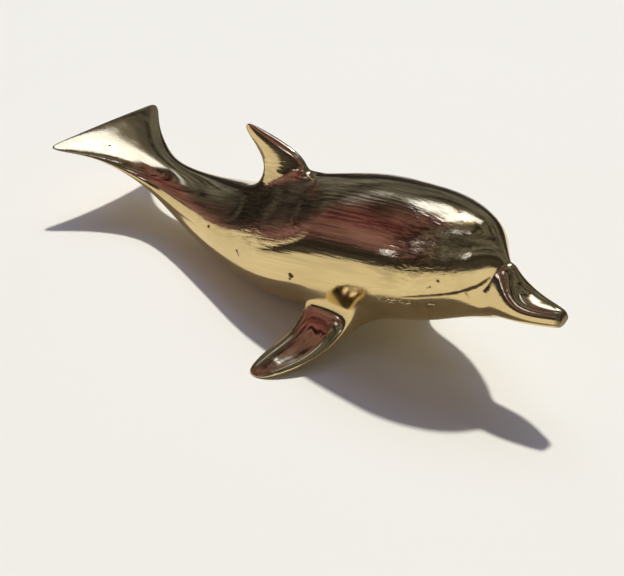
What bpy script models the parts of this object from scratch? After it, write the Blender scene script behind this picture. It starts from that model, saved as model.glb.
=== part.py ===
"""Dolphin figurine: one solid brass casting, polished all over.

It stands on its belly and on the tips of both pectoral fins, with beak and flukes in the air.
The body is a loft of half sections from the flukes to the beak. The fins are extruded from
the faces of that loft, the half is mirrored, and the whole cage is subdivided. At the end the
three places that it stands on are ground flat.

Sizes are in millimetres, measured from the flukes' trailing edge forward, from the middle to
the left, and up from about the belly line. The finished part is centred over its own origin.
"""

import math

import bmesh
import bpy
from mathutils import Vector

MM = 0.001

# Flukes: one flat plate with a nearly straight trailing edge.
# Flatness goes from 0, a round section, to 1, a lens.
FLUKE_HALF_SPAN = 22.1
FLUKE_EDGE_HEIGHT = 21.1
FLUKE_EDGE_THICKNESS = 1.23
FLUKE_MID_AT = 10.0
FLUKE_MID_HALF_WIDTH = 11.7
FLUKE_MID_HEIGHT = 17.8
FLUKE_MID_THICKNESS = 3.1
FLUKE_MID_FLATNESS = 0.8
FLUKE_ROOT_AT = 18.0
FLUKE_ROOT_HALF_WIDTH = 7.6
FLUKE_ROOT_TOP = 17.8
FLUKE_ROOT_THICKNESS = 6.2
FLUKE_ROOT_FLATNESS = 0.4
FLUKE_TIP_SWEEP = 2.0
FLUKE_TIP_DROOP = 1.6

# Tail stock, the narrowest place
STOCK_AT = 26.0
STOCK_HALF_WIDTH = 6.4
STOCK_TOP = 17.0
STOCK_BOTTOM = 7.5

# Body, from the haunch to the forehead
HAUNCH_AT = 40.0
HAUNCH_HALF_WIDTH = 9.9
HAUNCH_TOP = 18.2
HAUNCH_BOTTOM = 3.1
LOIN_AT = 56.0
LOIN_HALF_WIDTH = 14.5
LOIN_TOP = 22.5
LOIN_BOTTOM = 1.0
BELLY_AT = 75.0
BELLY_HALF_WIDTH = 18.2
BELLY_TOP = 32.0
BELLY_BOTTOM = -0.2
CHEST_AT = 95.0
CHEST_HALF_WIDTH = 17.6
CHEST_TOP = 39.3
CHEST_BOTTOM = 4.9
BROW_AT = 116.0
BROW_HALF_WIDTH = 15.9
BROW_TOP = 42.6
BROW_BOTTOM = 11.0

# Melon, the round forehead. It overhangs the beak at a crease, which leans forward at the top.
MELON_AT = 128.0
MELON_HALF_WIDTH = 9.4
MELON_TOP = 41.3
MELON_BOTTOM = 16.6
CREASE_LEAN = 0.11
CREASE_SHARPNESS = 0.55

# Beak: its root is sunk under the melon by the band, and its jaw is wider than its top
BEAK_ROOT_AT = 134.0
BEAK_ROOT_HALF_WIDTH = 3.7
BEAK_ROOT_TOP = 33.2
BEAK_ROOT_BOTTOM = 19.3
BEAK_ROOT_SWEEP = 2.7
BEAK_ROOT_BAND = 1.6
BEAK_JAW = 0.4
THROAT_SHARE = 0.65
BEAK_MID_AT = 139.5
BEAK_MID_HALF_WIDTH = 5.4
BEAK_MID_TOP = 27.4
BEAK_MID_BOTTOM = 20.9
BEAK_END_AT = 150.0
BEAK_END_HALF_WIDTH = 2.3
BEAK_END_TOP = 28.0
BEAK_END_BOTTOM = 22.7
BEAK_END_ROUNDING = 1.4
BEAK_FACE_SHARE = 0.62

# Dorsal fin: each section is height above the back, centre along the body, chord, half thickness.
# An edge share is the thickness near a fin's two edges, as a share of that in the middle.
DORSAL_FROM = 60.0
DORSAL_TO = 80.0
DORSAL_ROOT_HALF_WIDTH = 3.0
DORSAL_ROOT_END_SHARE = 0.75
DORSAL_SECTIONS = (
    (3.7, 67.3, 12.3, 1.95),
    (11.0, 63.2, 18.8, 1.45),
    (16.5, 55.9, 4.1, 0.5),
)
DORSAL_EDGE_SHARE = 0.55
DORSAL_EDGE_ROUNDING = 0.06
BACK_RADIUS = 16.0

# Pectoral fin, grown from one row of the body's faces, counted down from the back line.
# Each section is centre along, across and up, chord, half thickness.
PECTORAL_FROM = 87.0
PECTORAL_TO = 106.0
PECTORAL_ROW = 4
PECTORAL_SECTIONS = (
    (95.1, 15.1, 8.0, 14.3, 2.86),
    (95.3, 21.2, 4.4, 11.6, 1.8),
    (93.3, 28.6, 2.2, 10.9, 1.35),
    (91.1, 36.5, 0.0, 6.0, 0.85),
)
PECTORAL_EDGE_SHARE = 0.45
PECTORAL_ROOT_EDGE_SHARE = 0.8
PECTORAL_TIP_ROUNDING = 1.6

# How deep the places that it stands on are ground flat
GROUND_DEPTH = 0.25

# Segments of a half section from the back line to the belly line, of a fin's chord,
# and of the body from the tail stock to the dorsal fin
HALF_SEGMENTS = 6
FIN_SEGMENTS = 3
HAUNCH_SEGMENTS = 3
# How soon a lens section reaches its full thickness from its edge
LENS_FULLNESS = 2.4
SUBDIVISIONS = 2
ON_MIRROR_PLANE = 1e-6
MERGE_DISTANCE = 0.01

BRASS_COLOUR = (0.78, 0.60, 0.28, 1.0)
BRASS_ROUGHNESS = 0.1

# Profile lines, each a list of places along the body with the value there
PLACES = (0.0, FLUKE_MID_AT, FLUKE_ROOT_AT, STOCK_AT, HAUNCH_AT, LOIN_AT, BELLY_AT, CHEST_AT, BROW_AT)
BACK_LINE = (
    FLUKE_EDGE_HEIGHT + FLUKE_EDGE_THICKNESS / 2,
    FLUKE_MID_HEIGHT + FLUKE_MID_THICKNESS / 2,
    FLUKE_ROOT_TOP,
    STOCK_TOP,
    HAUNCH_TOP,
    LOIN_TOP,
    BELLY_TOP,
    CHEST_TOP,
    BROW_TOP,
)
BELLY_LINE = (
    FLUKE_EDGE_HEIGHT - FLUKE_EDGE_THICKNESS / 2,
    FLUKE_MID_HEIGHT - FLUKE_MID_THICKNESS / 2,
    FLUKE_ROOT_TOP - FLUKE_ROOT_THICKNESS,
    STOCK_BOTTOM,
    HAUNCH_BOTTOM,
    LOIN_BOTTOM,
    BELLY_BOTTOM,
    CHEST_BOTTOM,
    BROW_BOTTOM,
)
HALF_WIDTH_LINE = (
    FLUKE_HALF_SPAN,
    FLUKE_MID_HALF_WIDTH,
    FLUKE_ROOT_HALF_WIDTH,
    STOCK_HALF_WIDTH,
    HAUNCH_HALF_WIDTH,
    LOIN_HALF_WIDTH,
    BELLY_HALF_WIDTH,
    CHEST_HALF_WIDTH,
    BROW_HALF_WIDTH,
)

# The limit surface lies inside a ring of control points by this factor
CAGE_SCALE = 3 / (2 + math.cos(math.pi / HALF_SEGMENTS))


def clear_scene():
    for obj in list(bpy.data.objects):
        bpy.data.objects.remove(obj, do_unlink=True)


def smooth(values, x):
    """Read a profile line at x: a cubic through its values, with slopes from the neighbours."""
    steps = [b - a for a, b in zip(PLACES, PLACES[1:])]
    rises = [(b - a) / step for a, b, step in zip(values, values[1:], steps)]
    slopes = [rises[0]]
    for i in range(1, len(rises)):
        share = steps[i] / (steps[i - 1] + steps[i])
        slopes.append(rises[i - 1] * share + rises[i] * (1 - share))
    slopes.append(rises[-1])
    i = 0
    while i < len(steps) - 1 and x > PLACES[i + 1]:
        i += 1
    t = (x - PLACES[i]) / steps[i]
    start = (1 + 2 * t) * (1 - t) ** 2 * values[i] + t * (1 - t) ** 2 * steps[i] * slopes[i]
    end = t * t * (3 - 2 * t) * values[i + 1] + t * t * (t - 1) * steps[i] * slopes[i + 1]
    return start + end


def between(a, b, count):
    """Places from a up to b, without b."""
    return [a + (b - a) * i / count for i in range(count)]


def half_section(x, half_width, top, bottom, flat=0.0, lean=0.0, sweep=0.0, middle=None, jaw=0.0):
    """Points from the back line round the left side to the belly line.

    flat blends the round section into a lens, as thin as the flukes. lean moves the points
    forward as they rise, sweep moves the sides back, and jaw widens the lower half.
    """
    middle = (top + bottom) / 2 if middle is None else middle
    points = []
    for j in range(HALF_SEGMENTS + 1):
        angle = math.pi / 2 - math.pi * j / HALF_SEGMENTS
        round_across, round_up = math.cos(angle), math.sin(angle)
        lens_across = 1 - abs(1 - 2 * j / HALF_SEGMENTS)
        lens_up = math.copysign(min(1.0, LENS_FULLNESS * (1 - lens_across)), round_up)
        across = (1 - flat) * round_across + flat * lens_across
        up = (1 - flat) * round_up + flat * lens_up
        across *= 1 + jaw * min(1.0, max(0.0, -2 * up))
        reach = (top - middle) if up > 0 else (middle - bottom)
        z = middle + CAGE_SCALE * reach * up
        along = x + lean * (z - middle) - sweep * round_across
        points.append(Vector((along, CAGE_SCALE * half_width * across, z)))
    return points


def profile_section(x, flat=0.0):
    """A section that reads its size from the profile lines."""
    return half_section(x, smooth(HALF_WIDTH_LINE, x), smooth(BACK_LINE, x), smooth(BELLY_LINE, x), flat)


def fluke_section(x, flat):
    """A section of the flukes, whose tips lie further back and lower than the middle."""
    points = profile_section(x, flat)
    for point in points:
        share = (point.y / (CAGE_SCALE * FLUKE_HALF_SPAN)) ** 2
        point.x -= FLUKE_TIP_SWEEP * share
        point.z -= FLUKE_TIP_DROOP * share
    return points


def beak_sections():
    throat = (1 - THROAT_SHARE) * MELON_BOTTOM + THROAT_SHARE * BEAK_ROOT_BOTTOM
    root_middle = (BEAK_ROOT_TOP + BEAK_ROOT_BOTTOM) / 2
    sections = []
    for x, bottom in ((BEAK_ROOT_AT, throat), (BEAK_ROOT_AT + BEAK_ROOT_BAND, BEAK_ROOT_BOTTOM)):
        sections.append(half_section(x, BEAK_ROOT_HALF_WIDTH, BEAK_ROOT_TOP, bottom, lean=CREASE_LEAN,
                                     sweep=BEAK_ROOT_SWEEP, middle=root_middle, jaw=BEAK_JAW))
    sections.append(half_section(BEAK_MID_AT, BEAK_MID_HALF_WIDTH, BEAK_MID_TOP, BEAK_MID_BOTTOM))
    end_middle = (BEAK_END_TOP + BEAK_END_BOTTOM) / 2
    end_reach = (BEAK_END_TOP - BEAK_END_BOTTOM) / 2
    for x, share in ((BEAK_END_AT - BEAK_END_ROUNDING, 1.0), (BEAK_END_AT, BEAK_FACE_SHARE)):
        sections.append(half_section(x, share * BEAK_END_HALF_WIDTH,
                                     end_middle + share * end_reach, end_middle - share * end_reach))
    return sections


def body_sections():
    """All half sections, and the ring numbers where the fins and the crease lie."""
    sections = [
        fluke_section(0.0, 1.0),
        fluke_section(FLUKE_MID_AT / 2, 1.0),
        fluke_section(FLUKE_MID_AT, FLUKE_MID_FLATNESS),
        fluke_section(FLUKE_ROOT_AT, FLUKE_ROOT_FLATNESS),
    ]
    places = between(STOCK_AT, DORSAL_FROM, HAUNCH_SEGMENTS)
    dorsal_ring = len(sections) + len(places)
    places += between(DORSAL_FROM, DORSAL_TO, FIN_SEGMENTS) + [DORSAL_TO]
    pectoral_ring = len(sections) + len(places)
    places += between(PECTORAL_FROM, PECTORAL_TO, FIN_SEGMENTS) + [PECTORAL_TO, BROW_AT]
    sections += [profile_section(x) for x in places]
    sections.append(half_section(MELON_AT, MELON_HALF_WIDTH, MELON_TOP, MELON_BOTTOM, lean=CREASE_LEAN))
    crease_ring = len(sections)
    return sections + beak_sections(), dorsal_ring, pectoral_ring, crease_ring


def loft(bm, sections):
    rings = [[bm.verts.new(point) for point in section] for section in sections]
    faces = {}
    for k, (ring, following) in enumerate(zip(rings, rings[1:])):
        for j in range(HALF_SEGMENTS):
            faces[k, j] = bm.faces.new((ring[j], following[j], following[j + 1], ring[j + 1]))
    return rings, faces


def cap(bm, ring, forward):
    """Close an end across the section, from the back line's points to the belly line's."""
    for j in range(HALF_SEGMENTS // 2):
        corners = list(dict.fromkeys([ring[j], ring[j + 1], ring[-2 - j], ring[-1 - j]]))
        bm.faces.new(corners[::-1] if forward else corners)


def extrude(bm, faces, grid, targets):
    """Extrude a patch of faces, move its new corners to their targets and return both again."""
    made = bmesh.ops.extrude_face_region(bm, geom=faces)["geom"]
    verts = [item for item in made if isinstance(item, bmesh.types.BMVert)]
    cap_faces = [item for item in made if isinstance(item, bmesh.types.BMFace)]
    old = [face for face in faces if face.is_valid]
    if old:
        bmesh.ops.delete(bm, geom=old, context="FACES_ONLY")
    moved = {key: min(verts, key=lambda v: (v.co - corner.co).length) for key, corner in grid.items()}
    for key, vert in moved.items():
        vert.co = targets[key]
    return cap_faces, moved


def clear_mirror_plane(bm):
    """Remove the walls that an extrusion leaves on the mirror plane, and what hangs on them."""
    flat = [face for face in bm.faces if all(abs(v.co.y) < ON_MIRROR_PLANE for v in face.verts)]
    bmesh.ops.delete(bm, geom=flat, context="FACES_ONLY")
    bmesh.ops.delete(bm, geom=[edge for edge in bm.edges if not edge.link_faces], context="EDGES")
    bmesh.ops.delete(bm, geom=[vert for vert in bm.verts if not vert.link_edges], context="VERTS")


def back_height(x):
    """Height of the cage's back line at x."""
    middle = (smooth(BACK_LINE, x) + smooth(BELLY_LINE, x)) / 2
    return middle + CAGE_SCALE * (smooth(BACK_LINE, x) - middle)


def is_inner(i):
    """Whether a point of a fin's section lies between its two edges."""
    return 0 < i < FIN_SEGMENTS


def add_dorsal(bm, rings, faces, first):
    grid = {(i, s): rings[first + i][s] for i in range(FIN_SEGMENTS + 1) for s in range(2)}
    for i in range(FIN_SEGMENTS + 1):
        corner = grid[i, 1]
        corner.co.y = DORSAL_ROOT_HALF_WIDTH * (1.0 if is_inner(i) else DORSAL_ROOT_END_SHARE)
        corner.co.z = grid[i, 0].co.z - corner.co.y ** 2 / (2 * BACK_RADIUS)
    patch = [faces[first + i, 0] for i in range(FIN_SEGMENTS)]
    for height, centre, chord, half_thickness in DORSAL_SECTIONS:
        z = back_height(centre) + height
        targets = {}
        for i in range(FIN_SEGMENTS + 1):
            x = centre + chord * (i / FIN_SEGMENTS - 0.5)
            bulge = 0.0 if is_inner(i) else math.copysign(DORSAL_EDGE_ROUNDING * chord, x - centre)
            share = 1.0 if is_inner(i) else DORSAL_EDGE_SHARE
            targets[i, 0] = Vector((x + bulge, 0.0, z))
            targets[i, 1] = Vector((x, half_thickness * share, z))
        patch, grid = extrude(bm, patch, grid, targets)


def add_pectoral(bm, rings, faces, first):
    grid = {(i, s): rings[first + i][PECTORAL_ROW + s] for i in range(FIN_SEGMENTS + 1) for s in range(2)}
    patch = [faces[first + i, PECTORAL_ROW] for i in range(FIN_SEGMENTS)]
    centres = [Vector(section[:3]) for section in PECTORAL_SECTIONS]
    root = centres[0] * 2 - centres[1]
    path = [root] + centres + [centres[-1]]
    for level, (_, _, _, chord, half_thickness) in enumerate(PECTORAL_SECTIONS, 1):
        outward = (path[level + 1] - path[level - 1]).normalized()
        up = Vector((1, 0, 0)).cross(outward)
        edge_share = PECTORAL_ROOT_EDGE_SHARE if level == 1 else PECTORAL_EDGE_SHARE
        rounding = PECTORAL_TIP_ROUNDING if level == len(PECTORAL_SECTIONS) else 0.0
        targets = {}
        for i in range(FIN_SEGMENTS + 1):
            share = 1.0 if is_inner(i) else edge_share
            middle = path[level] + Vector((chord * (i / FIN_SEGMENTS - 0.5), 0, 0))
            middle -= outward * (0.0 if is_inner(i) else rounding)
            targets[i, 0] = middle + up * half_thickness * share
            targets[i, 1] = middle - up * half_thickness * share
        patch, grid = extrude(bm, patch, grid, targets)


def sharpen_crease(bm, ring):
    """The line where the melon meets the beak is sharp on top and fades out at the sides."""
    layer = bm.edges.layers.float.new("crease_edge")
    for j in range(HALF_SEGMENTS // 2):
        edge = bm.edges.get((ring[j], ring[j + 1]))
        edge[layer] = CREASE_SHARPNESS


def half_cage():
    sections, dorsal_ring, pectoral_ring, crease_ring = body_sections()
    bm = bmesh.new()
    rings, faces = loft(bm, sections)
    cap(bm, rings[0], forward=False)
    cap(bm, rings[-1], forward=True)
    sharpen_crease(bm, rings[crease_ring])
    add_dorsal(bm, rings, faces, dorsal_ring)
    add_pectoral(bm, rings, faces, pectoral_ring)
    clear_mirror_plane(bm)
    bmesh.ops.scale(bm, vec=(MM, MM, MM), verts=bm.verts)
    mesh = bpy.data.meshes.new("dolphin")
    bm.to_mesh(mesh)
    bm.free()
    return mesh


def brass():
    material = bpy.data.materials.new("brass")
    material.use_nodes = True
    shader = material.node_tree.nodes["Principled BSDF"]
    shader.inputs["Base Color"].default_value = BRASS_COLOUR
    shader.inputs["Metallic"].default_value = 1.0
    shader.inputs["Roughness"].default_value = BRASS_ROUGHNESS
    material.diffuse_color = BRASS_COLOUR
    return material


def evaluated_bounds(obj):
    """Lowest and highest corner of an object with its modifiers."""
    bpy.context.view_layer.update()
    seen = obj.evaluated_get(bpy.context.evaluated_depsgraph_get())
    mesh = seen.to_mesh()
    corners = [[f(v.co[axis] for v in mesh.vertices) for axis in range(3)] for f in (min, max)]
    seen.to_mesh_clear()
    return corners


def ground_cutter(size):
    """A block whose top is the plane that the figurine stands on."""
    bpy.ops.mesh.primitive_cube_add(size=size, location=(0, 0, -size / 2))
    cutter = bpy.context.object
    cutter.name = "standing_plane"
    cutter.display_type = "WIRE"
    cutter.hide_render = True
    return cutter


def move_to(obj, collection):
    for owner in list(obj.users_collection):
        owner.objects.unlink(obj)
    collection.objects.link(obj)


def build():
    clear_scene()
    parts = bpy.data.collections.new("dolphin_figurine")
    cutters = bpy.data.collections.new("cutters")
    for collection in (parts, cutters):
        bpy.context.scene.collection.children.link(collection)

    dolphin = bpy.data.objects.new("dolphin", half_cage())
    parts.objects.link(dolphin)
    dolphin.data.materials.append(brass())
    dolphin.data.shade_smooth()

    mirror = dolphin.modifiers.new("both_sides", "MIRROR")
    mirror.use_axis = (False, True, False)
    mirror.merge_threshold = MERGE_DISTANCE * MM
    mirror.use_clip = True
    rounded = dolphin.modifiers.new("rounded", "SUBSURF")
    rounded.levels = SUBDIVISIONS
    rounded.render_levels = SUBDIVISIONS

    low, high = evaluated_bounds(dolphin)
    dolphin.location.x = -(low[0] + high[0]) / 2
    dolphin.location.z = -low[2] - GROUND_DEPTH * MM

    cutter = ground_cutter(2 * (high[0] - low[0]))
    move_to(cutter, cutters)
    grind = dolphin.modifiers.new("ground_flat", "BOOLEAN")
    grind.operation = "DIFFERENCE"
    grind.solver = "EXACT"
    grind.object = cutter


build()
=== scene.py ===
"""Looks of the brass dolphin figurine: a mirror-polished casting on a pale floor in soft studio light.

The figurine's cage is the one of the solid model, with the same sizes, subdivided twice more,
because a mirror surface shows every facet. Sizes named in capitals are in millimetres, measured
from the flukes' trailing edge forward, from the middle to the left, and up from the belly line.
"""

import math

import bmesh
import bpy
import numpy as np
from mathutils import Matrix, Vector, kdtree, noise


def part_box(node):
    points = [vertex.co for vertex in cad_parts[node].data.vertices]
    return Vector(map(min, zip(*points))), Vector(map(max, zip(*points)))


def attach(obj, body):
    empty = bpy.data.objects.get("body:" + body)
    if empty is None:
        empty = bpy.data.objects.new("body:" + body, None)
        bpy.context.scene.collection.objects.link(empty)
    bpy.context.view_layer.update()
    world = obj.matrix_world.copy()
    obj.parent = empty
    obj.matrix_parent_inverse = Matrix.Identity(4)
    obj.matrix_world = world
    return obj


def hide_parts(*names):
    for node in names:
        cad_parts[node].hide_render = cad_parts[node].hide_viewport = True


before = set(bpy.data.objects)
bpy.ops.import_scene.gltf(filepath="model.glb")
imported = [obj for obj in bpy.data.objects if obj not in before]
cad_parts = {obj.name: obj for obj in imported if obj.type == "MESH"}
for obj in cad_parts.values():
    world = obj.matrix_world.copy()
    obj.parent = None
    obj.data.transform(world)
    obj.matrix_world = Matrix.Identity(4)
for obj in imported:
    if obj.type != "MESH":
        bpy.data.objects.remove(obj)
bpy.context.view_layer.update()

MM = 0.001

# Flukes: one flat plate with a nearly straight trailing edge.
# Flatness goes from 0, a round section, to 1, a lens.
FLUKE_HALF_SPAN = 22.1
FLUKE_EDGE_HEIGHT = 21.1
FLUKE_EDGE_THICKNESS = 1.23
FLUKE_MID_AT = 10.0
FLUKE_MID_HALF_WIDTH = 11.7
FLUKE_MID_HEIGHT = 17.8
FLUKE_MID_THICKNESS = 3.1
FLUKE_MID_FLATNESS = 0.8
FLUKE_ROOT_AT = 18.0
FLUKE_ROOT_HALF_WIDTH = 7.6
FLUKE_ROOT_TOP = 17.8
FLUKE_ROOT_THICKNESS = 6.2
FLUKE_ROOT_FLATNESS = 0.4
FLUKE_TIP_SWEEP = 2.0
FLUKE_TIP_DROOP = 1.6

# Tail stock, the narrowest place
STOCK_AT = 26.0
STOCK_HALF_WIDTH = 6.4
STOCK_TOP = 17.0
STOCK_BOTTOM = 7.5

# Body, from the haunch to the forehead
HAUNCH_AT = 40.0
HAUNCH_HALF_WIDTH = 9.9
HAUNCH_TOP = 18.2
HAUNCH_BOTTOM = 3.1
LOIN_AT = 56.0
LOIN_HALF_WIDTH = 14.5
LOIN_TOP = 22.5
LOIN_BOTTOM = 1.0
BELLY_AT = 75.0
BELLY_HALF_WIDTH = 18.2
BELLY_TOP = 32.0
BELLY_BOTTOM = -0.2
CHEST_AT = 95.0
CHEST_HALF_WIDTH = 17.6
CHEST_TOP = 39.3
CHEST_BOTTOM = 4.9
BROW_AT = 116.0
BROW_HALF_WIDTH = 15.9
BROW_TOP = 42.6
BROW_BOTTOM = 11.0

# Melon, the round forehead. It overhangs the beak at a crease, which leans forward at the top.
MELON_AT = 128.0
MELON_HALF_WIDTH = 9.4
MELON_TOP = 41.3
MELON_BOTTOM = 16.6
CREASE_LEAN = 0.11
CREASE_SHARPNESS = 0.55

# Beak: its root is sunk under the melon by the band, and its jaw is wider than its top
BEAK_ROOT_AT = 134.0
BEAK_ROOT_HALF_WIDTH = 3.7
BEAK_ROOT_TOP = 33.2
BEAK_ROOT_BOTTOM = 19.3
BEAK_ROOT_SWEEP = 2.7
BEAK_ROOT_BAND = 1.6
BEAK_JAW = 0.4
THROAT_SHARE = 0.65
BEAK_MID_AT = 139.5
BEAK_MID_HALF_WIDTH = 5.4
BEAK_MID_TOP = 27.4
BEAK_MID_BOTTOM = 20.9
BEAK_END_AT = 150.0
BEAK_END_HALF_WIDTH = 2.3
BEAK_END_TOP = 28.0
BEAK_END_BOTTOM = 22.7
BEAK_END_ROUNDING = 1.4
BEAK_FACE_SHARE = 0.62

# Dorsal fin: each section is height above the back, centre along the body, chord, half thickness.
# An edge share is the thickness near a fin's two edges, as a share of that in the middle.
DORSAL_FROM = 60.0
DORSAL_TO = 80.0
DORSAL_ROOT_HALF_WIDTH = 3.0
DORSAL_ROOT_END_SHARE = 0.75
DORSAL_SECTIONS = (
    (3.7, 67.3, 12.3, 1.95),
    (11.0, 63.2, 18.8, 1.45),
    (16.5, 55.9, 4.1, 0.5),
)
DORSAL_EDGE_SHARE = 0.55
DORSAL_EDGE_ROUNDING = 0.06
BACK_RADIUS = 16.0

# Pectoral fin, grown from one row of the body's faces, counted down from the back line.
# Each section is centre along, across and up, chord, half thickness.
PECTORAL_FROM = 87.0
PECTORAL_TO = 106.0
PECTORAL_ROW = 4
PECTORAL_SECTIONS = (
    (95.1, 15.1, 8.0, 14.3, 2.86),
    (95.3, 21.2, 4.4, 11.6, 1.8),
    (93.3, 28.6, 2.2, 10.9, 1.35),
    (91.1, 36.5, 0.0, 6.0, 0.85),
)
PECTORAL_EDGE_SHARE = 0.45
PECTORAL_ROOT_EDGE_SHARE = 0.8
PECTORAL_TIP_ROUNDING = 1.6

# How deep the places that it stands on are ground flat
GROUND_DEPTH = 0.25

# Segments of a half section from the back line to the belly line, of a fin's chord,
# and of the body from the tail stock to the dorsal fin
HALF_SEGMENTS = 6
FIN_SEGMENTS = 3
HAUNCH_SEGMENTS = 3
# How soon a lens section reaches its full thickness from its edge
LENS_FULLNESS = 2.4
SUBDIVISIONS = 4
ON_MIRROR_PLANE = 1e-6
MERGE_DISTANCE = 0.01

# Profile lines, each a list of places along the body with the value there
PLACES = (0.0, FLUKE_MID_AT, FLUKE_ROOT_AT, STOCK_AT, HAUNCH_AT, LOIN_AT, BELLY_AT, CHEST_AT, BROW_AT)
BACK_LINE = (
    FLUKE_EDGE_HEIGHT + FLUKE_EDGE_THICKNESS / 2,
    FLUKE_MID_HEIGHT + FLUKE_MID_THICKNESS / 2,
    FLUKE_ROOT_TOP,
    STOCK_TOP,
    HAUNCH_TOP,
    LOIN_TOP,
    BELLY_TOP,
    CHEST_TOP,
    BROW_TOP,
)
BELLY_LINE = (
    FLUKE_EDGE_HEIGHT - FLUKE_EDGE_THICKNESS / 2,
    FLUKE_MID_HEIGHT - FLUKE_MID_THICKNESS / 2,
    FLUKE_ROOT_TOP - FLUKE_ROOT_THICKNESS,
    STOCK_BOTTOM,
    HAUNCH_BOTTOM,
    LOIN_BOTTOM,
    BELLY_BOTTOM,
    CHEST_BOTTOM,
    BROW_BOTTOM,
)
HALF_WIDTH_LINE = (
    FLUKE_HALF_SPAN,
    FLUKE_MID_HALF_WIDTH,
    FLUKE_ROOT_HALF_WIDTH,
    STOCK_HALF_WIDTH,
    HAUNCH_HALF_WIDTH,
    LOIN_HALF_WIDTH,
    BELLY_HALF_WIDTH,
    CHEST_HALF_WIDTH,
    BROW_HALF_WIDTH,
)

# The limit surface lies inside a ring of control points by this factor
CAGE_SCALE = 3 / (2 + math.cos(math.pi / HALF_SEGMENTS))

# Brass: its colour where it is dull and bright, its dark colour for patina and dirt and for the painted dark
# reflection on the beak's end, and its roughness
BRASS_DULL = (0.70, 0.54, 0.26)
BRASS_BRIGHT = (0.78, 0.61, 0.30)
BRASS_TARNISHED_AND_PAINTED_DARK = (0.16, 0.10, 0.05)
ROUGHNESS_TARNISHED = 0.45
ROUGHNESS_LOW = 0.05
ROUGHNESS_HIGH = 0.16
# Polishing lines and fine grain: their depth in millimetres, the tint of the shade painted on the lines, and
# the angle in degrees by which the lines rise toward the head
LINE_DEPTH = 0.15
LINE_SHADE = (0.34, 0.28, 0.28)
LINE_RISE = 12.0
GRAIN_DEPTH = 0.02
# Noises of the brass. Each is its size along, across and up in millimetres, and its detail.
TONE_NOISE = ((16.0, 6.0, 6.0), 3.0)
SMEAR_NOISE = ((22.0, 2.4, 2.4), 4.0)
PATCH_NOISE = ((30.0, 14.0, 14.0), 1.0)
LINE_NOISE = ((34.0, 0.7, 0.7), 3.0)
GRAIN_NOISE = ((0.5, 0.5, 0.5), 2.0)
# The part of each noise that is spread over its whole effect, and how weak a patch of lines gets
TONE_RANGE = (0.35, 0.65)
SMEAR_RANGE = (0.35, 0.70)
PATCH_RANGE = (0.38, 0.60)
PATCH_WEAKEST = 0.25
SHADE_RANGE = (0.42, 0.60)

# Flaws of the casting on its right side. Each pit is its place, its radius and its depth.
PITS = (
    (85.7, -17.9, 17.0, 0.90, 0.42),
    (85.2, -17.8, 15.7, 0.45, 0.22),
    (52.6, -12.6, 14.8, 0.55, 0.28),
    (66.6, -16.7, 15.4, 0.45, 0.22),
    (67.1, -16.9, 15.0, 0.40, 0.20),
    (67.5, -17.0, 14.5, 0.36, 0.16),
    (123.7, -11.4, 29.2, 0.48, 0.22),
    (122.2, -12.2, 27.3, 0.42, 0.20),
    (121.7, -12.4, 27.0, 0.40, 0.16),
    (8.6, -6.3, 19.4, 0.36, 0.16),
)
# The fold that runs back from the crease, its short branch and a worn curl on the jaw.
# Each groove is its points, its half width and its depth.
GROOVES = (
    (((132.1, -3.8, 29.8), (131.5, -4.4, 29.2), (130.8, -5.3, 28.5), (130.1, -6.1, 27.9),
      (129.5, -6.8, 27.7), (128.1, -8.1, 26.9), (126.4, -9.4, 26.1), (124.2, -10.8, 25.4),
      (120.3, -12.9, 24.1), (116.0, -14.5, 22.7)),
     0.30, 0.22),
    (((128.4, -7.7, 26.7), (128.9, -7.0, 25.6), (129.1, -6.6, 24.5)), 0.22, 0.12),
    (((122.8, -11.0, 22.4), (121.7, -11.5, 22.4), (121.0, -11.6, 21.7), (121.4, -11.0, 21.0),
      (122.4, -10.5, 21.0)),
     0.30, 0.16),
)
# A strip of rough skin that the polishing didn't reach: its points, half width and height
ROUGH_STRIP = (
    ((109.5, -15.8, 20.3), (112.3, -15.0, 20.6), (115.8, -14.1, 21.2), (120.3, -12.1, 22.0)), 1.0, 0.13,
)
# Length of its grain in millimetres, and of its fine grain as a share of that
ROUGH_GRAIN = 1.1
FINE_GRAIN_SHARE = 0.35
# How far the grain moves the edge of a flaw, and how deep the rough skin lies between its grains
FLAW_EDGE_GRAIN = 0.5
ROUGH_SINK = 0.3
# Steps in millimetres at which a groove is followed, and the rough strip and the fins' ridges
GROOVE_STEP = 0.12
SOFT_STEP = 0.3
# The mesh is made finer twice, within these shares of a flaw's radius and a margin in millimetres
REFINE_REACHES = (2.6, 1.9)
REFINE_MARGIN = 0.3
# A flaw is felt out to this many of its radii
FLAW_REACH = 3
# The polished skin is never quite even: two sizes of waves, each as length and height
WAVES = ((16.0, 0.05), (6.0, 0.010))
# Soft ridges and hollows of both pectoral fins: each one's points, half width and height
FIN_RELIEFS = (
    (((98.4, -16.8, 10.6), (99.6, -19.4, 7.6), (99.3, -22.4, 5.5), (97.6, -27.9, 3.2), (95.2, -32.6, 1.8),
      (92.6, -35.4, 0.8)), 1.1, 0.32),
    (((94.4, -19.0, 8.6), (96.0, -21.3, 6.7), (95.9, -24.2, 5.2), (94.9, -27.4, 3.9), (93.4, -31.0, 2.7)),
     1.5, -0.16),
)
# Depth of a flaw that is dark with dirt
DIRT_DEPTH = 0.12
# Curvature of a hollow, per metre, at which tarnish starts and at which it is full, the share that
# it then has, and how often the curvature is evened out
HOLLOW_FROM = 220.0
HOLLOW_FULL = 1500.0
HOLLOW_SHARE = 0.5
HOLLOW_SMOOTHINGS = 4
SHORTEST_SQUARE = 1e-14
# The end of the beak is rougher and painted dark: a painted dark reflection
PAINTED_DARK_END_FROM = 148.4
PAINTED_DARK_END_SHARE = 0.8
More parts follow.
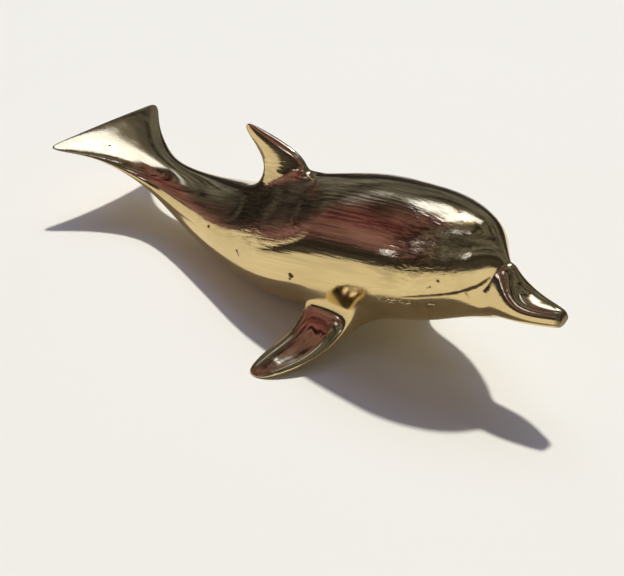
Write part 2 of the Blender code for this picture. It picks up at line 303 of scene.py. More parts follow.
# The polishing lines are strongest on the flanks. They fade by place along the body, below a line
# that rises with them, and near the back line.
BRUSHED_PLACES = (30.0, 62.0, 118.0, 130.0)
BRUSHED_SHARES = (0.12, 1.0, 1.0, 0.2)
RISE_FROM = 85.0
BRUSHED_HEIGHTS = (20.0, 26.0)
BELLY_BRUSHED = 0.12
BRUSHED_WIDTHS = (3.0, 8.0)
RIDGE_BRUSHED = 0.3
# The grain is strongest on the head and the flukes
GRAINED_PLACES = (18.0, 30.0, 94.0, 112.0, 136.0, 142.0)
GRAINED_SHARES = (0.9, 0.15, 0.15, 1.0, 1.0, 0.3)

# Camera: where the photograph was taken from, in metres and degrees from the figurine's frame.
# Lens and sensor are in millimetres.
CAMERA_PLACE = (0.2256, -0.2496, 0.2111)
CAMERA_HEADING = 41.87
CAMERA_PITCH = 32.03
CAMERA_ROLL = 1.34
CAMERA_LENS = 91.04
CAMERA_SENSOR = 36.0

# Studio: a pale floor, a sun lamp as key, soft panels, and a dark surround that only the metal shows.
# Directions are azimuth from +X toward +Y and elevation, in degrees.
FLOOR_HALF = 3.0
FLOOR_COLOUR = (0.88, 0.845, 0.715)
FLOOR_ROUGHNESS = 0.7
KEY_AZIMUTH = 120.0
KEY_ELEVATION = 64.0
KEY_STRENGTH = 2.62
KEY_ANGLE = 3.0
PANEL_DISTANCE = 1.2
PANEL_COLOUR = (0.78, 0.95, 1.6)
# Each panel: name, azimuth, elevation, width, height and turn in degrees, radiance
PANELS = (
    ("panel_back", 143.5, 54.6, 18.0, 22.0, -20.4, 1.65),
    ("panel_top", 152.6, 73.1, 12.0, 15.0, -28.0, 1.9),
    ("panel_beak", 104.0, 58.0, 19.0, 17.0, 0.0, 1.5),
    ("panel_low", 160.0, 37.0, 22.0, 2.2, 0.0, 0.8),
    ("panel_flank", -113.0, 14.0, 9.0, 4.0, 0.0, 2.5),
    ("panel_side", -97.0, 33.0, 10.0, 6.0, 0.0, 1.2),
    ("panel_cheek", -43.0, 14.0, 6.0, 10.0, 0.0, 2.0),
    ("panel_fin", -62.0, 72.0, 22.0, 3.0, 0.0, 1.6),
)
# The surround lies on the floor outside an ellipse and stands up as a wall far away. It is open
# behind the tail.
SURROUND_FROM = -142.0
SURROUND_TO = 188.0
SURROUND_INNER = (0.14, 0.17)
SURROUND_OUTER = 1.0
SURROUND_HEIGHT = 0.19
SURROUND_LIFT = 0.0005
SURROUND_STEPS = 96
SURROUND_COLOUR = (0.035, 0.03, 0.03)
SURROUND_ROUGHNESS = 1.0

# The world's colour by elevation: a pale backdrop, then a dark room
BACKDROP_LOW = (0.83, 0.81, 0.76)
BACKDROP_HIGH = (0.82, 0.80, 0.75)
BACKDROP_TOP = 7.6
ROOM_FROM = 9.0
ROOM_COLOUR = (0.128, 0.137, 0.155)
ROOM_HIGH = (0.09, 0.087, 0.098)
# The room is redder on two sides and darker on one. Each side: azimuth and elevation, cosine of
# the angle from it at which its tint starts and at which it is full, and the tint.
ROOM_SIDES = (
    (-130.0, 0.0, 0.50, 0.78, (1.42, 0.78, 0.90)),
    (-162.0, 54.0, 0.86, 0.96, (1.25, 0.76, 0.86)),
    (176.0, 16.0, 0.955, 0.99, (0.45, 0.45, 0.45)),
)
# Light and dark stripes of the room, which lie level
STRIPE_SCALE = (2.2, 2.2, 24.0)
STRIPE_DETAIL = 4.0
STRIPE_RANGE = (0.36, 0.64)
STRIPE_DARK = 0.1
STRIPE_LIGHT = 1.9


def smooth(values, x):
    """Read a profile line at x: a cubic through its values, with slopes from the neighbours."""
    steps = [b - a for a, b in zip(PLACES, PLACES[1:])]
    rises = [(b - a) / step for a, b, step in zip(values, values[1:], steps)]
    slopes = [rises[0]]
    for i in range(1, len(rises)):
        share = steps[i] / (steps[i - 1] + steps[i])
        slopes.append(rises[i - 1] * share + rises[i] * (1 - share))
    slopes.append(rises[-1])
    i = 0
    while i < len(steps) - 1 and x > PLACES[i + 1]:
        i += 1
    t = (x - PLACES[i]) / steps[i]
    start = (1 + 2 * t) * (1 - t) ** 2 * values[i] + t * (1 - t) ** 2 * steps[i] * slopes[i]
    end = t * t * (3 - 2 * t) * values[i + 1] + t * t * (t - 1) * steps[i] * slopes[i + 1]
    return start + end


def between(a, b, count):
    """Places from a up to b, without b."""
    return [a + (b - a) * i / count for i in range(count)]


def half_section(x, half_width, top, bottom, flat=0.0, lean=0.0, sweep=0.0, middle=None, jaw=0.0):
    """Points from the back line round the left side to the belly line.

    flat blends the round section into a lens, as thin as the flukes. lean moves the points
    forward as they rise, sweep moves the sides back, and jaw widens the lower half.
    """
    middle = (top + bottom) / 2 if middle is None else middle
    points = []
    for j in range(HALF_SEGMENTS + 1):
        angle = math.pi / 2 - math.pi * j / HALF_SEGMENTS
        round_across, round_up = math.cos(angle), math.sin(angle)
        lens_across = 1 - abs(1 - 2 * j / HALF_SEGMENTS)
        lens_up = math.copysign(min(1.0, LENS_FULLNESS * (1 - lens_across)), round_up)
        across = (1 - flat) * round_across + flat * lens_across
        up = (1 - flat) * round_up + flat * lens_up
        across *= 1 + jaw * min(1.0, max(0.0, -2 * up))
        reach = (top - middle) if up > 0 else (middle - bottom)
        z = middle + CAGE_SCALE * reach * up
        ahead = x + lean * (z - middle) - sweep * round_across
        points.append(Vector((ahead, CAGE_SCALE * half_width * across, z)))
    return points


def profile_section(x, flat=0.0):
    """A section that reads its size from the profile lines."""
    return half_section(x, smooth(HALF_WIDTH_LINE, x), smooth(BACK_LINE, x), smooth(BELLY_LINE, x), flat)


def fluke_section(x, flat):
    """A section of the flukes, whose tips lie further back and lower than the middle."""
    points = profile_section(x, flat)
    for point in points:
        share = (point.y / (CAGE_SCALE * FLUKE_HALF_SPAN)) ** 2
        point.x -= FLUKE_TIP_SWEEP * share
        point.z -= FLUKE_TIP_DROOP * share
    return points


def beak_sections():
    throat = (1 - THROAT_SHARE) * MELON_BOTTOM + THROAT_SHARE * BEAK_ROOT_BOTTOM
    root_middle = (BEAK_ROOT_TOP + BEAK_ROOT_BOTTOM) / 2
    sections = []
    for x, bottom in ((BEAK_ROOT_AT, throat), (BEAK_ROOT_AT + BEAK_ROOT_BAND, BEAK_ROOT_BOTTOM)):
        sections.append(half_section(x, BEAK_ROOT_HALF_WIDTH, BEAK_ROOT_TOP, bottom, lean=CREASE_LEAN,
                                     sweep=BEAK_ROOT_SWEEP, middle=root_middle, jaw=BEAK_JAW))
    sections.append(half_section(BEAK_MID_AT, BEAK_MID_HALF_WIDTH, BEAK_MID_TOP, BEAK_MID_BOTTOM))
    end_middle = (BEAK_END_TOP + BEAK_END_BOTTOM) / 2
    end_reach = (BEAK_END_TOP - BEAK_END_BOTTOM) / 2
    for x, share in ((BEAK_END_AT - BEAK_END_ROUNDING, 1.0), (BEAK_END_AT, BEAK_FACE_SHARE)):
        sections.append(half_section(x, share * BEAK_END_HALF_WIDTH,
                                     end_middle + share * end_reach, end_middle - share * end_reach))
    return sections


def body_sections():
    """All half sections, and the ring numbers where the fins and the crease lie."""
    sections = [
        fluke_section(0.0, 1.0),
        fluke_section(FLUKE_MID_AT / 2, 1.0),
        fluke_section(FLUKE_MID_AT, FLUKE_MID_FLATNESS),
        fluke_section(FLUKE_ROOT_AT, FLUKE_ROOT_FLATNESS),
    ]
    places = between(STOCK_AT, DORSAL_FROM, HAUNCH_SEGMENTS)
    dorsal_ring = len(sections) + len(places)
    places += between(DORSAL_FROM, DORSAL_TO, FIN_SEGMENTS) + [DORSAL_TO]
    pectoral_ring = len(sections) + len(places)
    places += between(PECTORAL_FROM, PECTORAL_TO, FIN_SEGMENTS) + [PECTORAL_TO, BROW_AT]
    sections += [profile_section(x) for x in places]
    sections.append(half_section(MELON_AT, MELON_HALF_WIDTH, MELON_TOP, MELON_BOTTOM, lean=CREASE_LEAN))
    crease_ring = len(sections)
    return sections + beak_sections(), dorsal_ring, pectoral_ring, crease_ring


def loft(bm, sections):
    """Join the half sections by faces, and return their points and the faces by ring and row."""
    rings = [[bm.verts.new(point) for point in section] for section in sections]
    faces = {}
    for k, (ring, following) in enumerate(zip(rings, rings[1:])):
        for j in range(HALF_SEGMENTS):
            faces[k, j] = bm.faces.new((ring[j], following[j], following[j + 1], ring[j + 1]))
    return rings, faces


def cap(bm, ring, forward):
    """Close an end across the section, from the back line's points to the belly line's."""
    for j in range(HALF_SEGMENTS // 2):
        corners = list(dict.fromkeys([ring[j], ring[j + 1], ring[-2 - j], ring[-1 - j]]))
        bm.faces.new(corners[::-1] if forward else corners)


def extrude(bm, faces, grid, targets):
    """Extrude a patch of faces, move its new corners to their targets and return both again."""
    made = bmesh.ops.extrude_face_region(bm, geom=faces)["geom"]
    verts = [item for item in made if isinstance(item, bmesh.types.BMVert)]
    cap_faces = [item for item in made if isinstance(item, bmesh.types.BMFace)]
    old = [face for face in faces if face.is_valid]
    if old:
        bmesh.ops.delete(bm, geom=old, context="FACES_ONLY")
    moved = {key: min(verts, key=lambda v: (v.co - corner.co).length) for key, corner in grid.items()}
    for key, vert in moved.items():
        vert.co = targets[key]
    return cap_faces, moved


def clear_mirror_plane(bm):
    """Remove the walls that an extrusion leaves on the mirror plane, and what hangs on them."""
    flat = [face for face in bm.faces if all(abs(v.co.y) < ON_MIRROR_PLANE for v in face.verts)]
    bmesh.ops.delete(bm, geom=flat, context="FACES_ONLY")
    bmesh.ops.delete(bm, geom=[edge for edge in bm.edges if not edge.link_faces], context="EDGES")
    bmesh.ops.delete(bm, geom=[vert for vert in bm.verts if not vert.link_edges], context="VERTS")


def back_height(x):
    """Height of the cage's back line at x."""
    middle = (smooth(BACK_LINE, x) + smooth(BELLY_LINE, x)) / 2
    return middle + CAGE_SCALE * (smooth(BACK_LINE, x) - middle)


def is_inner(i):
    """Whether a point of a fin's section lies between its two edges."""
    return 0 < i < FIN_SEGMENTS


def add_dorsal(bm, rings, faces, first):
    """Grow the left half of the dorsal fin out of the back, from the ring with number first."""
    grid = {(i, s): rings[first + i][s] for i in range(FIN_SEGMENTS + 1) for s in range(2)}
    for i in range(FIN_SEGMENTS + 1):
        corner = grid[i, 1]
        corner.co.y = DORSAL_ROOT_HALF_WIDTH * (1.0 if is_inner(i) else DORSAL_ROOT_END_SHARE)
        corner.co.z = grid[i, 0].co.z - corner.co.y ** 2 / (2 * BACK_RADIUS)
    patch = [faces[first + i, 0] for i in range(FIN_SEGMENTS)]
    for height, centre, chord, half_thickness in DORSAL_SECTIONS:
        z = back_height(centre) + height
        targets = {}
        for i in range(FIN_SEGMENTS + 1):
            x = centre + chord * (i / FIN_SEGMENTS - 0.5)
            bulge = 0.0 if is_inner(i) else math.copysign(DORSAL_EDGE_ROUNDING * chord, x - centre)
            share = 1.0 if is_inner(i) else DORSAL_EDGE_SHARE
            targets[i, 0] = Vector((x + bulge, 0.0, z))
            targets[i, 1] = Vector((x, half_thickness * share, z))
        patch, grid = extrude(bm, patch, grid, targets)


def add_pectoral(bm, rings, faces, first):
    """Grow the left pectoral fin out of the flank, from the ring with number first."""
    grid = {(i, s): rings[first + i][PECTORAL_ROW + s] for i in range(FIN_SEGMENTS + 1) for s in range(2)}
    patch = [faces[first + i, PECTORAL_ROW] for i in range(FIN_SEGMENTS)]
    centres = [Vector(section[:3]) for section in PECTORAL_SECTIONS]
    root = centres[0] * 2 - centres[1]
    path = [root] + centres + [centres[-1]]
    for level, (_, _, _, chord, half_thickness) in enumerate(PECTORAL_SECTIONS, 1):
        outward = (path[level + 1] - path[level - 1]).normalized()
        up = Vector((1, 0, 0)).cross(outward)
        edge_share = PECTORAL_ROOT_EDGE_SHARE if level == 1 else PECTORAL_EDGE_SHARE
        rounding = PECTORAL_TIP_ROUNDING if level == len(PECTORAL_SECTIONS) else 0.0
        targets = {}
        for i in range(FIN_SEGMENTS + 1):
            share = 1.0 if is_inner(i) else edge_share
            middle = path[level] + Vector((chord * (i / FIN_SEGMENTS - 0.5), 0, 0))
            middle -= outward * (0.0 if is_inner(i) else rounding)
            targets[i, 0] = middle + up * half_thickness * share
            targets[i, 1] = middle - up * half_thickness * share
        patch, grid = extrude(bm, patch, grid, targets)


def sharpen_crease(bm, ring):
    """The line where the melon meets the beak is sharp on top and fades out at the sides."""
    layer = bm.edges.layers.float.new("crease_edge")
    for j in range(HALF_SEGMENTS // 2):
        edge = bm.edges.get((ring[j], ring[j + 1]))
        edge[layer] = CREASE_SHARPNESS


def half_cage():
    sections, dorsal_ring, pectoral_ring, crease_ring = body_sections()
    bm = bmesh.new()
    rings, faces = loft(bm, sections)
    cap(bm, rings[0], forward=False)
    cap(bm, rings[-1], forward=True)
    sharpen_crease(bm, rings[crease_ring])
    add_dorsal(bm, rings, faces, dorsal_ring)
    add_pectoral(bm, rings, faces, pectoral_ring)
    clear_mirror_plane(bm)
    bmesh.ops.scale(bm, vec=(MM, MM, MM), verts=bm.verts)
    mesh = bpy.data.meshes.new("dolphin_cage")
    bm.to_mesh(mesh)
    bm.free()
    return mesh


def smooth_cage():
    """The whole figurine as a bmesh, subdivided to a smooth surface, still on the cage's own place."""
    cage = bpy.data.objects.new("dolphin_cage", half_cage())
    bpy.context.scene.collection.objects.link(cage)
    mirror = cage.modifiers.new("both_sides", "MIRROR")
    mirror.use_axis = (False, True, False)
    mirror.merge_threshold = MERGE_DISTANCE * MM
    mirror.use_clip = True
    rounded = cage.modifiers.new("rounded", "SUBSURF")
    rounded.levels = SUBDIVISIONS
    rounded.render_levels = SUBDIVISIONS
    bpy.context.view_layer.update()
    seen = cage.evaluated_get(bpy.context.evaluated_depsgraph_get())
    bm = bmesh.new()
    bm.from_mesh(seen.to_mesh())
    seen.to_mesh_clear()
    bpy.data.objects.remove(cage)
    return bm


def along(points, step):
    """Places at even steps along a line through the points, each with its share of the way."""
    points = [Vector(point) * MM for point in points]
    lengths = [(b - a).length for a, b in zip(points, points[1:])]
    total = sum(lengths)
    places = []
    done = 0.0
    for a, b, length in zip(points, points[1:], lengths):
        count = max(1, round(length / (step * MM)))
        places += [(a.lerp(b, i / count), (done + length * i / count) / total) for i in range(count)]
        done += length
    return places + [(points[-1], 1.0)]


def flaw_places():
    """Every place with a flaw: where, kind, radius, depth and share of the way along it."""
    places = []
    for x, y, z, radius, depth in PITS:
        places.append((Vector((x, y, z)) * MM, "pit", radius * MM, depth * MM, 0.0))
    strips = [("groove", GROOVE_STEP, *groove) for groove in GROOVES] + [("rough", SOFT_STEP, *ROUGH_STRIP)]
    for kind, step, points, half_width, depth in strips:
        for place, share in along(points, step):
            places.append((place, kind, half_width * MM, depth * MM, share))
    return places


def finder(places):
    """A tree that finds the nearest of some places."""
    tree = kdtree.KDTree(len(places))
    for i, (place, *_) in enumerate(places):
        tree.insert(place, i)
    tree.balance()
    return tree


def refine(bm, tree, reaches):
    """Halve the edges whose two ends both lie within reach of a flaw."""
    near = set()
    for vert in bm.verts:
        _, index, distance = tree.find(vert.co)
        if distance < reaches[index]:
            near.add(vert)
    edges = [edge for edge in bm.edges if edge.verts[0] in near and edge.verts[1] in near]
    bmesh.ops.subdivide_edges(bm, edges=edges, cuts=1, use_grid_fill=True, smooth=0.0)
    bm.normal_update()


def fade(share):
    """How strong a strip is at a share of the way along it: nothing at both ends."""
    return math.sin(math.pi * share) ** 0.5


def flaw_height(place, kind, radius, depth, share, point):
    """How far the flaw lowers or lifts the skin at a point."""
    grain = noise.noise(point / (ROUGH_GRAIN * MM))
    distance = (point - place).length / (radius * (1 + FLAW_EDGE_GRAIN * grain))
    if kind == "pit":
        return -depth * max(0.0, 1 - distance ** 2) ** 2
    if kind == "groove":
        return -depth * (1 - share ** 2) * math.exp(-distance ** 2)
    fine = noise.noise(point / (FINE_GRAIN_SHARE * ROUGH_GRAIN * MM))
    grain_height = fine + FLAW_EDGE_GRAIN * grain - ROUGH_SINK
    return depth * grain_height * math.exp(-distance ** 2) * fade(share)


def add_flaws(bm):
    """Pits, fold and rough strip, cut into a mesh that is made finer there."""
    places = flaw_places()
    tree = finder(places)
    for reach in REFINE_REACHES:
        refine(bm, tree, [reach * radius + REFINE_MARGIN * MM for _, _, radius, _, _ in places])
    dirt = bm.verts.layers.float.new("dirt")
    moves = []
    for vert in bm.verts:
        _, index, distance = tree.find(vert.co)
        if distance < FLAW_REACH * places[index][2]:
            height = flaw_height(*places[index], vert.co)
            vert[dirt] = min(1.0, max(0.0, -height / (DIRT_DEPTH * MM)))
            moves.append((vert, vert.normal * height))
    for vert, move in moves:
        vert.co += move


def add_fin_reliefs(bm):
    """Ridge and hollow on top of both pectoral fins, which are mirror images."""
    for points, half_width, height in FIN_RELIEFS:
        places = along(points, SOFT_STEP)
        tree = finder(places)
        for vert in bm.verts:
            x, y, z = vert.co
            _, index, distance = tree.find((x, -abs(y), z))
            strength = fade(places[index][1]) * math.exp(-(distance / (half_width * MM)) ** 2)
            vert.co += vert.normal * height * MM * strength * max(0.0, vert.normal.z)
        bm.normal_update()


def add_waves(bm):
    """Make the polished skin slightly uneven."""
    for vert in bm.verts:
        lift = sum(height * MM * noise.noise(vert.co / (length * MM)) for length, height in WAVES)
        vert.co += vert.normal * lift
    bm.normal_update()


def hollows(mesh):
    """How hollow the skin is at each vertex, as the mean curvature along its edges."""
    count = len(mesh.vertices)
    points, normals = np.empty(3 * count), np.empty(3 * count)
    mesh.vertices.foreach_get("co", points)
    mesh.vertices.foreach_get("normal", normals)
    points, normals = points.reshape(-1, 3), normals.reshape(-1, 3)
    ends = np.empty(2 * len(mesh.edges), dtype=np.int32)
    mesh.edges.foreach_get("vertices", ends)
    first, second = ends.reshape(-1, 2).T
    step = points[second] - points[first]
    square = np.maximum((step ** 2).sum(axis=1), SHORTEST_SQUARE)
    bend, degree = np.zeros(count), np.zeros(count)
    np.add.at(bend, first, 2 * (step * normals[first]).sum(axis=1) / square)
    np.add.at(bend, second, -2 * (step * normals[second]).sum(axis=1) / square)
    np.add.at(degree, first, 1)
    np.add.at(degree, second, 1)
    bend /= np.maximum(degree, 1)
    for _ in range(HOLLOW_SMOOTHINGS):
        spread = np.zeros(count)
        np.add.at(spread, first, bend[second])
        np.add.at(spread, second, bend[first])
        bend = 0.5 * bend + 0.5 * spread / np.maximum(degree, 1)
    return bend


def store(mesh, name, values):
    """Keep a number for each vertex, which the material reads by its name."""
    attribute = mesh.attributes.new(name, "FLOAT", "POINT")
    attribute.data.foreach_set("value", values.astype(np.float32))


def store_finish(mesh, points):
    """Keep at each vertex how dark the skin is with patina, dirt and the painted dark reflection on the
    beak's end, and how brushed and grained it is.
    """
    x, y, z = points.T / MM
    dirt = np.empty(len(points))
    mesh.attributes["dirt"].data.foreach_get("value", dirt)
    hollow = HOLLOW_SHARE * np.clip((hollows(mesh) - HOLLOW_FROM) / (HOLLOW_FULL - HOLLOW_FROM), 0.0, 1.0)
    # Painted dark reflection: the beak's end is painted dark.
    painted_dark_end = PAINTED_DARK_END_SHARE * np.clip(x - PAINTED_DARK_END_FROM, 0.0, 1.0)
    store(mesh, "tarnish_and_painted_dark", np.maximum(np.maximum(hollow, dirt), painted_dark_end))
    brushed = np.interp(x, BRUSHED_PLACES, BRUSHED_SHARES)
    above_line = z - math.tan(math.radians(LINE_RISE)) * (x - RISE_FROM)
    brushed *= np.interp(above_line, BRUSHED_HEIGHTS, (BELLY_BRUSHED, 1.0))
    brushed *= np.interp(abs(y), BRUSHED_WIDTHS, (RIDGE_BRUSHED, 1.0))
    store(mesh, "brushed", brushed)
    store(mesh, "grained", np.interp(x, GRAINED_PLACES, GRAINED_SHARES))


def seat(mesh, points):
    """Move the casting into the solid model's box and grind it flat below."""
    low, high = points.min(axis=0), points.max(axis=0)
    box_low, box_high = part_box("dolphin")
    points[:, 0] += (box_low[0] + box_high[0]) / 2 - (low[0] + high[0]) / 2
    points[:, 2] -= low[2] + GROUND_DEPTH * MM
    points[:, 2] = np.maximum(points[:, 2], 0.0)
    mesh.vertices.foreach_set("co", points.ravel())
    mesh.update()


def fine_mesh():
    """The figurine's smooth surface with its flaws and its finish, in its place."""
    bm = smooth_cage()
    bm.normal_update()
    add_fin_reliefs(bm)
    add_waves(bm)
    add_flaws(bm)
    mesh = bpy.data.meshes.new("dolphin_casting")
    bm.to_mesh(mesh)
    bm.free()
    points = np.empty(3 * len(mesh.vertices))
    mesh.vertices.foreach_get("co", points)
    points = points.reshape(-1, 3)
    store_finish(mesh, points)
    seat(mesh, points)
    return mesh


def fill(node, inputs):
    """Fill a shader node's inputs, each with a value or with another node's output."""
    for key, value in inputs.items():
        if isinstance(value, bpy.types.NodeSocket):
            node.id_data.links.new(value, node.inputs[key])
        else:
            node.inputs[key].default_value = value


def add_node(tree, kind, inputs, **settings):
    """Add a shader node of a kind, with its settings and its inputs."""
    node = tree.nodes.new(kind)
    for name, value in settings.items():
        setattr(node, name, value)
    fill(node, inputs)
    return node


def mapped(tree, value, source, result=(0.0, 1.0), interpolation="LINEAR"):
    """Spread a value from its source range over the result range."""
    inputs = {"Value": value, "From Min": source[0], "From Max": source[1],
              "To Min": result[0], "To Max": result[1]}
    return add_node(tree, "ShaderNodeMapRange", inputs, interpolation_type=interpolation).outputs["Result"]


def mixed(tree, factor, a, b, blend="MIX"):
    """Blend colour b into colour a."""
    inputs = {"Factor": factor, "A": a, "B": b}
    return add_node(tree, "ShaderNodeMix", inputs, data_type="RGBA", blend_type=blend).outputs["Result"]


def ramp(tree, value, positions, colours):
    """Colour of a value between two positions with their colours."""
    node = add_node(tree, "ShaderNodeValToRGB", {"Fac": value})
    for stop, position, colour in zip(node.color_ramp.elements, positions, colours):
        stop.position = position
        stop.color = (*colour, 1.0)
    return node.outputs["Color"]


def stretched_noise(tree, place, scale, detail, turn=0.0, kind="POINT"):
    """Noise turned about Y. Scale says how fine it is, or with the kind TEXTURE how coarse."""
    stretch = add_node(tree, "ShaderNodeMapping",
                       {"Vector": place, "Rotation": (0.0, turn, 0.0), "Scale": scale}, vector_type=kind)
    texture = add_node(tree, "ShaderNodeTexNoise",
                       {"Vector": stretch.outputs["Vector"], "Scale": 1.0, "Detail": detail})
    return texture.outputs["Fac"]


def brass():
    """Mirror-polished brass with long fine polishing lines, painted shade along them, and a slight change of
    tone.
    """
    material = bpy.data.materials.new("polished_brass")
    material.use_nodes = True
    tree = material.node_tree
    place = add_node(tree, "ShaderNodeTexCoord", {}).outputs["Object"]

    def noise_of(size, detail):
        """Noise in the casting's own space, turned so that its length follows the polishing lines."""
        scale = [length * MM for length in size]
        return stretched_noise(tree, place, scale, detail, -math.radians(LINE_RISE), "TEXTURE")

    def times(a, b):
        return add_node(tree, "ShaderNodeMath", {0: a, 1: b}, operation="MULTIPLY").outputs["Value"]

    def stored(name):
        return add_node(tree, "ShaderNodeAttribute", {}, attribute_name=name).outputs["Fac"]

    patches = mapped(tree, noise_of(*PATCH_NOISE), PATCH_RANGE, (PATCH_WEAKEST, 1.0))
    brushed = times(patches, stored("brushed"))
    # The stored darkness is patina in hollows, dirt in flaws and a painted dark reflection on the beak's
    # end.
    tarnish_and_painted_dark = stored("tarnish_and_painted_dark")
    tone = ramp(tree, noise_of(*TONE_NOISE), TONE_RANGE, (BRASS_DULL, BRASS_BRIGHT))
    tarnished_and_painted_dark = mixed(tree, tarnish_and_painted_dark, tone, (*BRASS_TARNISHED_AND_PAINTED_DARK, 1.0))
    # Painted shade: the colour is darkened along the polishing lines by their height.
    line_height = noise_of(*LINE_NOISE)
    shade = times(mapped(tree, line_height, SHADE_RANGE), brushed)
    lined = mixed(tree, shade, tarnished_and_painted_dark, (*LINE_SHADE, 1.0), "MULTIPLY")

    polish = mapped(tree, noise_of(*SMEAR_NOISE), SMEAR_RANGE, (ROUGHNESS_LOW, ROUGHNESS_HIGH))
    rough = add_node(tree, "ShaderNodeMix", {"Factor": tarnish_and_painted_dark, "A": polish, "B": ROUGHNESS_TARNISHED})

    grain_height = times(noise_of(*GRAIN_NOISE), stored("grained"))
    lines = add_node(tree, "ShaderNodeBump",
                     {"Distance": LINE_DEPTH * MM, "Height": times(line_height, brushed)})
    grains = add_node(tree, "ShaderNodeBump", {"Distance": GRAIN_DEPTH * MM, "Height": grain_height,
                                               "Normal": lines.outputs["Normal"]})
    fill(tree.nodes["Principled BSDF"], {"Base Color": lined, "Metallic": 1.0,
                                         "Roughness": rough.outputs["Result"],
                                         "Normal": grains.outputs["Normal"]})
    return material


def add_dolphin():
    mesh = fine_mesh()
    casting = bpy.data.objects.new("dolphin_casting", mesh)
    bpy.context.scene.collection.objects.link(casting)
    mesh.materials.clear()
    mesh.materials.append(brass())
    mesh.shade_smooth()
    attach(casting, "root")
    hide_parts("dolphin")


def plain_material(name, colour, roughness):
    material = bpy.data.materials.new(name)
    material.use_nodes = True
    fill(material.node_tree.nodes["Principled BSDF"],
         {"Base Color": (*colour, 1.0), "Roughness": roughness})
    return material


def add_floor():
    bpy.ops.mesh.primitive_plane_add(size=2 * FLOOR_HALF)
    floor = bpy.context.object
    floor.name = "floor"
    floor.data.materials.append(plain_material("pale_floor", FLOOR_COLOUR, FLOOR_ROUGHNESS))


def toward(azimuth, elevation):
    """Unit vector from the figurine in a direction given in degrees."""
    azimuth, elevation = math.radians(azimuth), math.radians(elevation)
    return Vector((math.cos(azimuth) * math.cos(elevation), math.sin(azimuth) * math.cos(elevation),
                   math.sin(elevation)))


def at_elevation(degrees):
    """Height of a direction on the unit sphere."""
    return math.sin(math.radians(degrees))


def add_world():
    """A pale backdrop just above the horizon and a dark room over it, with soft level stripes."""
    world = bpy.data.worlds.new("studio")
    world.use_nodes = True
    tree = world.node_tree
    place = add_node(tree, "ShaderNodeTexCoord", {}).outputs["Generated"]
    height = add_node(tree, "ShaderNodeSeparateXYZ", {"Vector": place}).outputs["Z"]
    backdrop_top, room_from = at_elevation(BACKDROP_TOP), at_elevation(ROOM_FROM)

    room = ramp(tree, height, (room_from, 1.0), (ROOM_COLOUR, ROOM_HIGH))
    for azimuth, elevation, tint_from, tint_full, tint in ROOM_SIDES:
        nearness = add_node(tree, "ShaderNodeVectorMath", {0: place, 1: toward(azimuth, elevation)},
                            operation="DOT_PRODUCT")
        share = mapped(tree, nearness.outputs["Value"], (tint_from, tint_full))
        room = mixed(tree, share, room, (*tint, 1.0), "MULTIPLY")
    stripes = stretched_noise(tree, place, STRIPE_SCALE, STRIPE_DETAIL)
    strength = mapped(tree, stripes, STRIPE_RANGE, (STRIPE_DARK, STRIPE_LIGHT), "SMOOTHSTEP")
    striped = add_node(tree, "ShaderNodeVectorMath", {0: room, "Scale": strength}, operation="SCALE")

    backdrop = ramp(tree, height, (0.0, backdrop_top), (BACKDROP_LOW, BACKDROP_HIGH))
    rise = mapped(tree, height, (backdrop_top, room_from))
    whole = mixed(tree, rise, backdrop, striped.outputs["Vector"])
    fill(tree.nodes["Background"], {"Color": whole})
    bpy.context.scene.world = world


def add_key():
    data = bpy.data.lights.new("key", "SUN")
    data.energy = KEY_STRENGTH
    data.angle = math.radians(KEY_ANGLE)
    key = bpy.data.objects.new("key", data)
    key.rotation_euler = toward(KEY_AZIMUTH, KEY_ELEVATION).to_track_quat("Z", "Y").to_euler()
    bpy.context.scene.collection.objects.link(key)


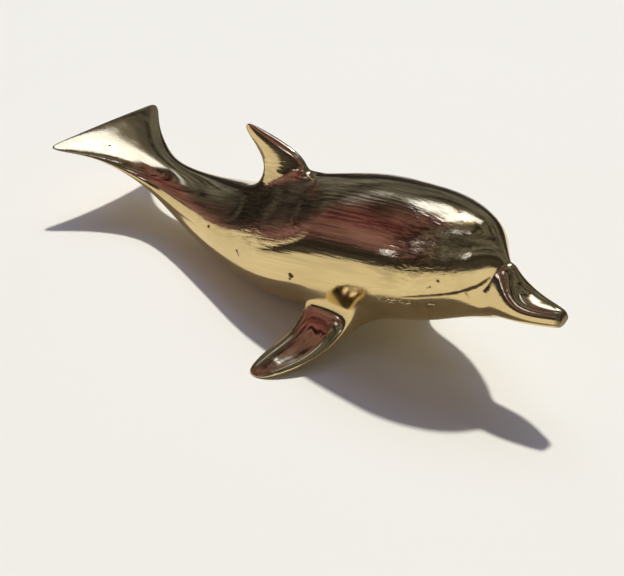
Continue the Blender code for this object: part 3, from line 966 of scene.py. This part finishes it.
def add_panels():
    """Soft rectangular lamps all round, each as bright as its radiance says."""
    for name, azimuth, elevation, width, height, turn, radiance in PANELS:
        data = bpy.data.lights.new(name, "AREA")
        data.shape = "RECTANGLE"
        data.size = 2 * PANEL_DISTANCE * math.tan(math.radians(width) / 2)
        data.size_y = 2 * PANEL_DISTANCE * math.tan(math.radians(height) / 2)
        data.energy = radiance * math.pi * data.size * data.size_y
        data.color = PANEL_COLOUR
        panel = bpy.data.objects.new(name, data)
        direction = toward(azimuth, elevation)
        facing = direction.to_track_quat("Z", "Y").to_matrix().to_4x4()
        turned = Matrix.Rotation(math.radians(turn), 4, "Z")
        panel.matrix_world = Matrix.Translation(direction * PANEL_DISTANCE) @ facing @ turned
        bpy.context.scene.collection.objects.link(panel)


def add_surround():
    """Dark cloth on the floor away from the figurine and a low dark wall, seen in the metal alone."""
    bm = bmesh.new()
    rows = []
    for i in range(SURROUND_STEPS + 1):
        angle = math.radians(SURROUND_FROM + (SURROUND_TO - SURROUND_FROM) * i / SURROUND_STEPS)
        x, y = math.cos(angle), math.sin(angle)
        inner = 1 / math.hypot(x / SURROUND_INNER[0], y / SURROUND_INNER[1])
        places = ((inner, SURROUND_LIFT), (SURROUND_OUTER, SURROUND_LIFT), (SURROUND_OUTER, SURROUND_HEIGHT))
        rows.append([bm.verts.new((radius * x, radius * y, z)) for radius, z in places])
    for row, following in zip(rows, rows[1:]):
        for k in range(len(row) - 1):
            bm.faces.new((row[k], row[k + 1], following[k + 1], following[k]))
    mesh = bpy.data.meshes.new("dark_surround")
    bm.to_mesh(mesh)
    bm.free()
    surround = bpy.data.objects.new("dark_surround", mesh)
    bpy.context.scene.collection.objects.link(surround)
    mesh.materials.append(plain_material("dark_cloth", SURROUND_COLOUR, SURROUND_ROUGHNESS))
    surround.visible_camera = False
    surround.visible_diffuse = False
    surround.visible_shadow = False


def add_camera():
    data = bpy.data.cameras.new("camera")
    data.sensor_width = CAMERA_SENSOR
    data.lens = CAMERA_LENS
    camera = bpy.data.objects.new("camera", data)
    turn = Matrix.Rotation(math.radians(CAMERA_HEADING), 4, "Z")
    tilt = Matrix.Rotation(math.radians(90 - CAMERA_PITCH), 4, "X")
    roll = Matrix.Rotation(math.radians(CAMERA_ROLL), 4, "Z")
    camera.matrix_world = Matrix.Translation(CAMERA_PLACE) @ turn @ tilt @ roll
    bpy.context.scene.collection.objects.link(camera)
    bpy.context.scene.camera = camera


add_camera()
add_dolphin()
add_floor()
add_world()
add_key()
add_panels()
add_surround()
bpy.context.scene.view_settings.view_transform = "Standard"
